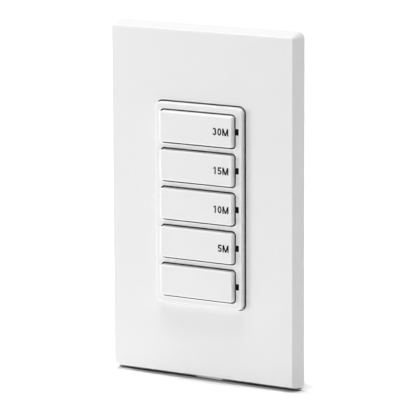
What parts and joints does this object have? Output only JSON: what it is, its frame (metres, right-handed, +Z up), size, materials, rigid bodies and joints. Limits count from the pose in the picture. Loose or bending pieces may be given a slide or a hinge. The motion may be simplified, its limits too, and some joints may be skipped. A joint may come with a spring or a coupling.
{
  "type": "timer light switch",
  "caption": "White countdown timer switch for a wall box: a column of rectangular push buttons, each with an indicator window, in a raised bezel and a screwless plate.",
  "frame": {"origin": "middle of the wallplate, on the plane of the wall", "axes": "+X to the viewer's right, +Z up, and the front faces -Y"},
  "size_m": [0.0712, 0.0373, 0.1172],
  "materials": {
    "white_plastic": "smooth white moulding with a fine satin sheen",
    "frame_plastic": "plain white moulding",
    "housing_plastic": "dark grey flame-retardant moulding",
    "smoked_plastic": "smoked, nearly black",
    "zinc_steel": "bright zinc plate on rolled sheet",
    "screw_steel": "zinc plate",
    "green_steel": "green dyed plate",
    "brass": "rolled, slightly dull",
    "nickel": "nickel plate, satin",
    "nylon": "natural nylon",
    "board": "green solder mask",
    "black_plastic": "black moulding",
    "lamp": "pale lamp resin",
    "relay_plastic": "blue case",
    "film_plastic": "yellow box",
    "can_sleeve": "dark shrunk sleeve",
    "blue_coat": "blue dipped coat",
    "fuse_plastic": "dark brown",
    "ferrite": "dark sintered core"
  },
  "bodies": {
    "switch_body": {"wallplate_cover": "white_plastic", "bezel": "white_plastic", "wallplate_subplate": "frame_plastic", "subplate_screws": "screw_steel", "mounting_strap": "zinc_steel", "box_screws": "screw_steel", "screw_retainers": "nylon", "ground_screw": "green_steel", "tact_switch_bases": "black_plastic", "tact_switch_covers": "zinc_steel", "light_pipe": "smoked_plastic", "indicator_leds": "lamp", "control_board": "board", "controller_chip": "black_plastic", "clock_crystal": "nickel", "header_pins": "black_plastic", "header_socket": "black_plastic", "power_board": "board", "relay": "relay_plastic", "film_capacitor": "film_plastic", "electrolytic_capacitor": "can_sleeve", "varistor": "blue_coat", "fuse": "fuse_plastic", "choke": "ferrite", "rectifier": "black_plastic", "rear_housing": "housing_plastic", "housing_screws": "screw_steel", "line_load_terminals": "brass", "line_load_screws": "brass", "neutral_terminal": "nickel", "neutral_screw": "nickel"},
    "key_30": {"button_30": "white_plastic", "plunger_30": "black_plastic"},
    "key_15": {"button_15": "white_plastic", "plunger_15": "black_plastic"},
    "key_10": {"button_10": "white_plastic", "plunger_10": "black_plastic"},
    "key_5": {"button_5": "white_plastic", "plunger_5": "black_plastic"},
    "key_off": {"button_off": "white_plastic", "plunger_off": "black_plastic"}
  },
  "joints": [
    {"name": "press_30", "type": "slide", "parent": "switch_body", "child": "key_30", "axis": [0, 1, 0], "range_m": [0, 0.0005], "stiffness_N_per_m": 2400, "springref_m": -0.00017},
    {"name": "press_15", "type": "slide", "parent": "switch_body", "child": "key_15", "axis": [0, 1, 0], "range_m": [0, 0.0005], "stiffness_N_per_m": 2400, "springref_m": -0.00017},
    {"name": "press_10", "type": "slide", "parent": "switch_body", "child": "key_10", "axis": [0, 1, 0], "range_m": [0, 0.0005], "stiffness_N_per_m": 2400, "springref_m": -0.00017},
    {"name": "press_5", "type": "slide", "parent": "switch_body", "child": "key_5", "axis": [0, 1, 0], "range_m": [0, 0.0005], "stiffness_N_per_m": 2400, "springref_m": -0.00017},
    {"name": "press_off", "type": "slide", "parent": "switch_body", "child": "key_off", "axis": [0, 1, 0], "range_m": [0, 0.0005], "stiffness_N_per_m": 2400, "springref_m": -0.00017}
  ]
}
